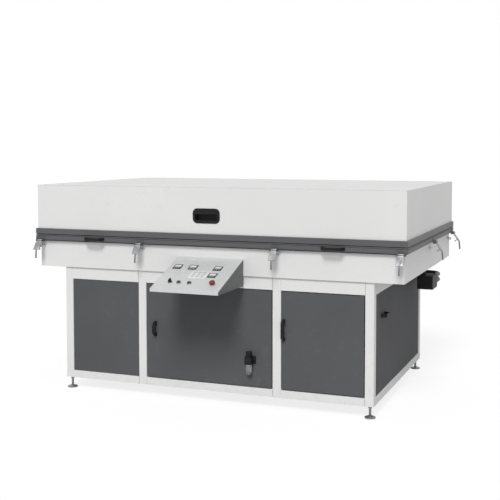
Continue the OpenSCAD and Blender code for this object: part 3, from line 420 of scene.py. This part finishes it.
# clear bowl of the air unit, hazed, with a little water at the bottom
bowlLook = {
    "colour": (0.80, 0.82, 0.82), "rough": 0.08, "clear": {"Transmission Weight": 0.82, "IOR": 1.49},
    "level": 0.03, "waterline": 0.004, "wet": 0.5, "wetColour": (0.55, 0.58, 0.58, 1),
    "haze": (60.0, 4.0, 0.6), "hazeSpan": (0.45, 0.75), "hazeRough": 0.2, "depth": 0.00005, "strength": 0.3,
}


def bowlFinish(look):
    f = Finish("clearBowl", look["clear"])
    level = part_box("regulator_bowl")[0].z + look["level"]
    wet = f.spread(f.axis("Z"), level, level + look["waterline"], 1.0, 0.0)
    haze = f.noise(*look["haze"])
    base = f.blend(wet * look["wet"], shade(look["colour"]), look["wetColour"])
    rough = look["rough"] + f.spread(haze, *look["hazeSpan"]) * look["hazeRough"]
    f.put({"Base Color": base, "Roughness": rough})
    f.bump(haze, look["depth"], look["strength"])
    return f.material


finishes = {name: powderFinish(name, look, powderAge) for name, look in powderCoats.items()}
finishes.update({name: metalFinish(name, look, metalAge) for name, look in metals.items()})
finishes.update({name: mouldFinish(name, look, mouldAge) for name, look in mouldings.items()})
finishes["membraneSilicone"] = membraneFinish(membraneLook)
finishes["heaterQuartz"] = heaterFinish(heaterLook)
finishes["clearBowl"] = bowlFinish(bowlLook)
print("finishes made:", len(finishes))

# which finish each solid wears, with the rounding of its edges in millimetres
wears = {
    "whitePowder": {
        "frame_posts": 0, "frame_rails": 0, "table_skirt": 1.5, "table_rim": 1.5, "hood_shell": 1.4},
    "darkPowder": {"fixed_panels": 1.6, "centre_door": 1.8, "right_door": 1.8},
    "bandPowder": {"membrane_frame": 2.5, "membrane_strips": 1, "hood_frame": 2.5},
    "consolePowder": {"console_box": 0.9},
    "innerPowder": {"table_bearers": 1.2},
    "earPowder": {"hinge_brackets": 1, "latch_brackets": 0.8, "frame_hinge_arms": 1.2},
    "pumpEnamel": {"vacuum_tank": 2, "vacuum_pump": 4},
    "zincPlate": {"foot_pads": 1, "foot_studs": 0.6, "button_bezels": 0.6},
    "brushedPanel": {"control_panel": 0.6, "lift_cylinders": 1.5},
    "galvanised": {
        "floor_shelf": 0.8, "table_tray": 0.8, "bed_plate": 1, "heater_rails": 1.5, "electrical_panel": 1.5},
    "turnedSteel": {"hinge_pins": 0.8, "lift_rod_left": 1, "lift_rod_right": 1},
    "blackPlastic": {
        "end_handles": 3, "centre_door_handle": 3, "right_door_handle": 3, "frame_handles": 3,
        "hood_pull": 1.8, "regulator": 1.5, "regulator_knob": 0.7, "mode_selector": 1, "vacuum_block": 3},
    "sealRubber": {"table_seal": 1.5, "hood_seal": 1},
    "pipePlastic": {"vacuum_pipes": 0},
    "keypadFilm": {"keypad": 0.4},
    "buttonGloss": {"start_button": 0.8, "stop_button": 0.8},
    "stopRed": {"emergency_stop": 1},
    "displayGlass": {"displays": 0.8},
    "heaterQuartz": {"heater_tubes": 0},
    "clearBowl": {"regulator_bowl": 1},
}
latches = ["latch_" + place for place in (
    "front_left", "front_right", "right_front", "right_middle", "right_rear", "left_front", "left_middle",
    "left_rear")]
for latch in latches:
    wears["zincPlate"][latch] = 1

# thin triangles on flat faces with holes would crease or stop the rounding, so they are joined first
edgeRound = {"weld": 0.00002, "segments": 2, "angle": 40, "flatAngle": 0.5,
             "joined": ["control_panel", "fixed_panels", "centre_door", "right_door"] + latches}


def dress(node, finish, roundMm, e):
    solid = nodes[node]
    solid.data.materials.clear()
    solid.data.materials.append(finishes[finish])
    if not roundMm:
        return
    weld = solid.modifiers.new("weld", "WELD")
    weld.merge_threshold = e["weld"]
    joined = node in e["joined"]
    if joined:
        flat = solid.modifiers.new("flat", "DECIMATE")
        flat.decimate_type = "DISSOLVE"
        flat.angle_limit = math.radians(e["flatAngle"])
    edge = solid.modifiers.new("edge", "BEVEL")
    edge.width = roundMm / 1000
    edge.segments = e["segments"]
    edge.limit_method = "ANGLE"
    edge.angle_limit = math.radians(e["angle"])
    edge.harden_normals = True
    edge.use_clamp_overlap = not joined


for finish, solids in wears.items():
    for node, roundMm in solids.items():
        dress(node, finish, roundMm, edgeRound)
print("solids dressed:", sum(len(solids) for solids in wears.values()))


# mesh helpers
def toMesh(bm, name):
    mesh = bpy.data.meshes.new(name)
    bm.to_mesh(mesh)
    bm.free()
    return mesh


def keep(mesh, body, finish):
    piece = bpy.data.objects.new(mesh.name, mesh)
    scene.collection.objects.link(piece)
    mesh.materials.append(finishes[finish])
    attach(piece, body)
    return piece


def thicken(piece, gauge):
    solid = piece.modifiers.new("gauge", "SOLIDIFY")
    solid.thickness = gauge
    solid.offset = 0


def facingMatrix(point, normal):
    turn = Vector(normal).to_track_quat("Z", "Y").to_matrix().to_4x4()
    return Matrix.Translation(Vector(point)) @ turn


def skin(bm, rings):
    # closed bands from ring to ring, with a face on each end
    for below, above in zip(rings, rings[1:]):
        for i in range(len(below)):
            j = (i + 1) % len(below)
            bm.faces.new((below[i], below[j], above[j], above[i]))
    bm.faces.new(rings[-1])
    bm.faces.new(list(reversed(rings[0])))


def lathe(bm, profile, place, steps):
    rings = []
    for radius, height in profile:
        ring = []
        for i in range(steps):
            a = 2 * math.pi * i / steps
            ring.append(bm.verts.new(place @ Vector((radius * math.cos(a), radius * math.sin(a), height))))
        rings.append(ring)
    skin(bm, rings)


# low button-head screws: radius and height of the profile, as shares of the head's radius
screwHead = {
    "steps": 18,
    "profile": ((1.0, 0.0), (1.0, 0.12), (0.86, 0.36), (0.6, 0.48), (0.44, 0.5), (0.36, 0.16)),
}


def screwSet(name, places, radius, body, finish):
    bm = bmesh.new()
    profile = [(r * radius, h * radius) for r, h in screwHead["profile"]]
    for point, normal in places:
        lathe(bm, profile, facingMatrix(point, normal), screwHead["steps"])
    mesh = toMesh(bm, name)
    for face in mesh.polygons:
        face.use_smooth = len(face.vertices) == 4
    keep(mesh, body, finish)


# the membrane is clamped all round and sags a little between the bars
membraneCut = {
    "across": 2.714, "deep": 1.704, "gauge": 0.002, "columns": 96, "rows": 60, "clamped": 0.05,
    "sag": 0.007, "sagWithin": 0.22,
    "ripple": 0.0006, "rippleTurns": (9, 7), "ripplePhase": 2, "rippleWithin": 0.2,
}


def makeMembrane(cut):
    low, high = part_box("membrane")
    level = (low.z + high.z) / 2
    bm = bmesh.new()
    grid = []
    for j in range(cut["rows"] + 1):
        line = []
        for i in range(cut["columns"] + 1):
            u, v = i / cut["columns"], j / cut["rows"]
            x, y = low.x + u * (high.x - low.x), low.y + v * (high.y - low.y)
            inX = min(x - low.x, high.x - x) - cut["clamped"]
            inY = min(y - low.y, high.y - y) - cut["clamped"]
            free = max(0.0, min(inX, inY))
            drop = cut["sag"] * (1 - math.exp(-free / cut["sagWithin"]))
            turnX, turnY = cut["rippleTurns"]
            wave = math.sin(turnX * x + cut["ripplePhase"]) * math.sin(turnY * y)
            ripple = cut["ripple"] * wave * min(1, free / cut["rippleWithin"])
            line.append(bm.verts.new((x, y, level - drop + ripple)))
        grid.append(line)
    for a, b in zip(grid, grid[1:]):
        for i in range(cut["columns"]):
            bm.faces.new((a[i], a[i + 1], b[i + 1], b[i])).smooth = True
    sheet = keep(toMesh(bm, "membraneSheet"), "membrane_frame", "membraneSilicone")
    thicken(sheet, cut["gauge"])
    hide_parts("membrane")


makeMembrane(membraneCut)
print("membrane stretched")

# insulation under the hood's roof: a foil-faced quilt, stitched in squares
quilt = {"columns": 14, "rows": 9, "fine": 8, "puff": 0.009, "fullness": 0.4, "clear": 0.002}


def makeQuilt(q):
    low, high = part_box("hood_insulation")
    across, deep = q["columns"] * q["fine"], q["rows"] * q["fine"]
    bm = bmesh.new()
    layers = []
    for bottom in (True, False):
        grid = []
        for j in range(deep + 1):
            line = []
            for i in range(across + 1):
                u, v = i / across, j / deep
                x = low.x + q["clear"] + u * (high.x - low.x - 2 * q["clear"])
                y = low.y + q["clear"] + v * (high.y - low.y - 2 * q["clear"])
                stitch = math.sin(math.pi * u * q["columns"]) * math.sin(math.pi * v * q["rows"])
                swell = abs(stitch) ** q["fullness"]
                z = low.z + q["puff"] * (1 - swell) if bottom else high.z - q["clear"]
                line.append(bm.verts.new((x, y, z)))
            grid.append(line)
        layers.append(grid)
        for a, b in zip(grid, grid[1:]):
            for i in range(across):
                ring = (a[i], b[i], b[i + 1], a[i + 1]) if bottom else (a[i], a[i + 1], b[i + 1], b[i])
                bm.faces.new(ring).smooth = bottom
    under, over = layers
    edge = [(0, i) for i in range(across)] + [(j, across) for j in range(deep)]
    edge += [(deep, i) for i in range(across, 0, -1)] + [(j, 0) for j in range(deep, 0, -1)]
    for (j, i), (k, m) in zip(edge, edge[1:] + edge[:1]):
        bm.faces.new((under[j][i], under[k][m], over[k][m], over[j][i]))
    piece = keep(toMesh(bm, "hoodQuilt"), "hood", "reflector")
    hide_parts("hood_insulation")


makeQuilt(quilt)
print("quilt laid")

# screws of the clamp strips, inside the hood's seal line
clampScrews = {"inset": 0.038, "ends": 0.06, "pitch": 0.15, "radius": 0.0052}


def rowAlong(low, high, pitch):
    count = max(1, round((high - low) / pitch))
    return [low + (i + 0.5) * (high - low) / count for i in range(count)]


def makeClampScrews(c):
    low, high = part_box("membrane_strips")
    up = (0, 0, 1)
    places = []
    for x in rowAlong(low.x + c["ends"], high.x - c["ends"], c["pitch"]):
        places += [((x, y, high.z), up) for y in (low.y + c["inset"], high.y - c["inset"])]
    for y in rowAlong(low.y + c["ends"], high.y - c["ends"], c["pitch"]):
        places += [((x, y, high.z), up) for x in (low.x + c["inset"], high.x - c["inset"])]
    screwSet("clampScrews", places, c["radius"], "membrane_frame", "zincPlate")


makeClampScrews(clampScrews)

# the three bays between the posts, from the gaps round the centre door
bayEdges = {"post": 0.06, "doorGap": 0.006}


def findBays(b):
    railLow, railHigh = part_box("frame_rails")
    doorLow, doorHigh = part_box("centre_door")
    left, right = doorLow.x - b["doorGap"], doorHigh.x + b["doorGap"]
    return ((railLow.x + b["post"], left - b["post"]), (left, right),
            (right + b["post"], railHigh.x - b["post"]))


# screws that hold the fixed panels, set in from the edges and from the corner posts
panelScrews = {"inset": 0.022, "cornerPost": 0.056, "radius": 0.0055}


def makePanelScrews(p):
    low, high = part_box("fixed_panels")
    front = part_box("centre_door")[0].y
    bays = findBays(bayEdges)
    fromCorner = p["cornerPost"] + p["inset"]
    places = []
    for z in (low.z + p["inset"], (low.z + high.z) / 2, high.z - p["inset"]):
        for x in (bays[0][0] + p["inset"], bays[0][1] - p["inset"]):
            places.append(((x, front, z), (0, -1, 0)))
        for y in (low.y + fromCorner, high.y - fromCorner):
            places.append(((high.x, y, z), (1, 0, 0)))
            places.append(((low.x, y, z), (-1, 0, 0)))
        for left, right in bays:
            places += [((x, high.y, z), (0, 1, 0)) for x in (left + p["inset"], right - p["inset"])]
    screwSet("panelScrews", places, p["radius"], "base", "earPowder")


makePanelScrews(panelScrews)
print("screws set")

# pressed hoods over the rear slots
louvres = {
    "count": 9, "pitch": 0.026, "first": 0.130, "length": 0.300, "rise": 0.014, "reach": 0.008,
    "drop": 0.002, "taper": 0.006, "gauge": 0.0012, "steps": 5,
}


def makeLouvres(v):
    low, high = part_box("fixed_panels")
    bm = bmesh.new()
    for left, right in findBays(bayEdges):
        middle = (left + right) / 2
        for i in range(v["count"]):
            z = low.z + v["first"] + i * v["pitch"]
            arcs = []
            for s in range(v["steps"] + 1):
                a = math.pi / 2 * s / v["steps"]
                out, up = v["reach"] * math.cos(a), v["rise"] * math.sin(a) - v["drop"]
                half = v["length"] / 2 - v["taper"] * (1 - math.cos(a))
                arcs.append([bm.verts.new((middle + side * half, high.y + out, z + up)) for side in (-1, 1)])
            for a, b in zip(arcs, arcs[1:]):
                bm.faces.new((a[0], b[0], b[1], a[1])).smooth = True
            for side in (0, 1):
                root = bm.verts.new((arcs[0][side].co.x, high.y, arcs[0][side].co.z))
                fan = [arc[side] for arc in arcs]
                for a, b in zip(fan, fan[1:]):
                    bm.faces.new((root, a, b) if side else (root, b, a))
    piece = keep(toMesh(bm, "rearLouvres"), "base", "darkPowder")
    thicken(piece, v["gauge"])


makeLouvres(louvres)
print("louvres pressed")

# console details lie on the slope: keys on the keypad, a window and a row of keys on each display,
# whose sizes and places are shares of the display's own
console = {
    "keyGrid": (3, 3), "keySize": (0.026, 0.020), "keyPitch": (0.034, 0.028),
    "keyRise": 0.0014, "keyCorner": 0.003,
    "windowShare": (0.78, 0.46), "windowUp": 0.14, "windowRise": 0.0006, "windowCorner": 0.001,
    "lowKeyShare": (0.16, 0.12), "lowKeyUp": -0.33, "lowKeyPitch": 0.25,
    "lowKeyRise": 0.0012, "lowKeyCorner": 0.0015,
    "cornerSteps": 4, "padShoulder": 0.6, "padInset": 0.5, "flatWithin": 0.0002,
}
pressAxis = next(joint for joint in frame["joints"] if joint["name"] == "start_button_press")["axis"]
slopeUp = -Vector(pressAxis).normalized()
slopeAlong = Vector((0, slopeUp.z, -slopeUp.y))


def slopeMatrix(x, point):
    turn = Matrix((Vector((1, 0, 0)), slopeAlong, slopeUp)).transposed().to_4x4()
    return Matrix.Translation(Vector((x, point.y, point.z))) @ turn


def pad(bm, place, size, rise, corner, c):
    width, height = size
    outline = []
    for cx, cy, start in ((1, 1, 0), (-1, 1, 90), (-1, -1, 180), (1, -1, 270)):
        for s in range(c["cornerSteps"] + 1):
            a = math.radians(start + 90 * s / c["cornerSteps"])
            outline.append((cx * (width / 2 - corner) + corner * math.cos(a),
                            cy * (height / 2 - corner) + corner * math.sin(a)))
    rings = []
    for inset, z in ((0, 0), (0, rise * c["padShoulder"]), (rise * c["padInset"], rise)):
        shrinkX, shrinkY = 1 - 2 * inset / width, 1 - 2 * inset / height
        rings.append([bm.verts.new(place @ Vector((x * shrinkX, y * shrinkY, z))) for x, y in outline])
    skin(bm, rings)


def padSet(name, pads, finish):
    bm = bmesh.new()
    for place, size, rise, corner in pads:
        pad(bm, place, size, rise, corner, console)
    keep(toMesh(bm, name), "base", finish)


def topFaces(node, within):
    # the top of each solid on the slope: x and middle, then width and height
    mesh = nodes[node].data
    top = max(v.co.dot(slopeUp) for v in mesh.vertices)
    groups = []
    for face in mesh.polygons:
        corners = set(face.vertices)
        if min(mesh.vertices[i].co.dot(slopeUp) for i in corners) < top - within:
            continue
        touching = [g for g in groups if g & corners]
        groups = [g for g in groups if not g & corners] + [corners.union(*touching)]
    found = []
    for group in groups:
        points = [mesh.vertices[i].co for i in group]
        xs, alongs = [p.x for p in points], [p.dot(slopeAlong) for p in points]
        middle = slopeAlong * (min(alongs) + max(alongs)) / 2 + slopeUp * top
        found.append(((min(xs) + max(xs)) / 2, middle, max(xs) - min(xs), max(alongs) - min(alongs)))
    return sorted(found, key=lambda f: f[0])


def makeKeypad(c):
    keys = []
    x, middle = topFaces("keypad", c["flatWithin"])[0][:2]
    columns, rows = c["keyGrid"]
    for i in range(columns):
        for j in range(rows):
            dx = (i - (columns - 1) / 2) * c["keyPitch"][0]
            dy = (j - (rows - 1) / 2) * c["keyPitch"][1]
            place = slopeMatrix(x + dx, middle + slopeAlong * dy)
            keys.append((place, c["keySize"], c["keyRise"], c["keyCorner"]))
    padSet("keypadKeys", keys, "keyFilm")


def makeDisplays(c):
    windows, lowKeys = [], []
    for x, middle, width, height in topFaces("displays", c["flatWithin"]):
        place = slopeMatrix(x, middle + slopeAlong * height * c["windowUp"])
        size = (width * c["windowShare"][0], height * c["windowShare"][1])
        windows.append((place, size, c["windowRise"], c["windowCorner"]))
        size = (width * c["lowKeyShare"][0], height * c["lowKeyShare"][1])
        point = middle + slopeAlong * height * c["lowKeyUp"]
        for i in (-1, 0, 1):
            place = slopeMatrix(x + i * width * c["lowKeyPitch"], point)
            lowKeys.append((place, size, c["lowKeyRise"], c["lowKeyCorner"]))
    padSet("displayWindows", windows, "displayWindow")
    padSet("displayKeys", lowKeys, "keyFilm")


makeKeypad(console)
makeDisplays(console)
print("console detailed")

# floor, lamps and a white surround: light is what the world gives the machine, and the camera sees
# the floor's own colour mixed with its glow, so that the floor is white and keeps the shadow
surround = {
    "light": 0.37, "floorHalf": 60, "floorDrop": 0.0008,
    "floor": 0.86, "floorChange": 0.01, "floorClouds": (0.8, 3.0, 0.5), "floorGlow": 0.72, "glow": 1.13,
    "matte": {"Roughness": 0.9, "Specular IOR Level": 0.1},
}
lamps = {
    "frontLamp": {"strength": 1.89, "aim": (-0.15, 1.0, -1.04), "spread": 20, "shine": True},
    "backLamp": {"strength": 0.42, "aim": (0.2, -1.0, -0.12), "spread": 60, "shine": False},
}


def makeSurround(s):
    world = bpy.data.worlds.new("surround")
    scene.world = world
    world.use_nodes = True
    board = Board(world.node_tree)
    seen = board.seenBy("Is Camera Ray", "Is Glossy Ray", "Is Transmission Ray")
    glow = board.find("BACKGROUND")
    feed(board.tree, glow.inputs["Color"], (1, 1, 1, 1))
    feed(board.tree, glow.inputs["Strength"], s["light"] + seen * (1 - s["light"]))


def makeFloor(s):
    bm = bmesh.new()
    bmesh.ops.create_grid(bm, x_segments=2, y_segments=2, size=s["floorHalf"])
    mesh = toMesh(bm, "floor")
    floor = bpy.data.objects.new("floor", mesh)
    floor.location.z = -s["floorDrop"]
    scene.collection.objects.link(floor)
    f = Finish("paleFloor", s["matte"])
    white = (1, 1, 1)
    darker, paler = shade(white, s["floor"] - s["floorChange"]), shade(white, s["floor"] + s["floorChange"])
    f.put({"Base Color": f.blend(f.noise(*s["floorClouds"]), darker, paler)})
    glow = f.add("Emission", sockets={"Color": shade(white), "Strength": s["glow"]})
    seen = f.seenBy("Is Camera Ray", "Is Transmission Ray")
    matte = Wire(f.tree, f.shader.outputs[0])
    mixed = f.add("MixShader", sockets={0: seen * s["floorGlow"], 1: matte, 2: glow})
    feed(f.tree, f.find("OUTPUT_MATERIAL").inputs["Surface"], mixed)
    mesh.materials.append(f.material)


def makeLamps(suns):
    for name, lamp in suns.items():
        data = bpy.data.lights.new(name, "SUN")
        data.energy = lamp["strength"]
        data.angle = math.radians(lamp["spread"])
        sun = bpy.data.objects.new(name, data)
        scene.collection.objects.link(sun)
        sun.visible_glossy = lamp["shine"]
        sun.rotation_euler = Vector(lamp["aim"]).to_track_quat("-Z", "Y").to_euler()


makeSurround(surround)
makeFloor(surround)
makeLamps(lamps)
scene.view_settings.view_transform = "Standard"
print("surround and lamps set")
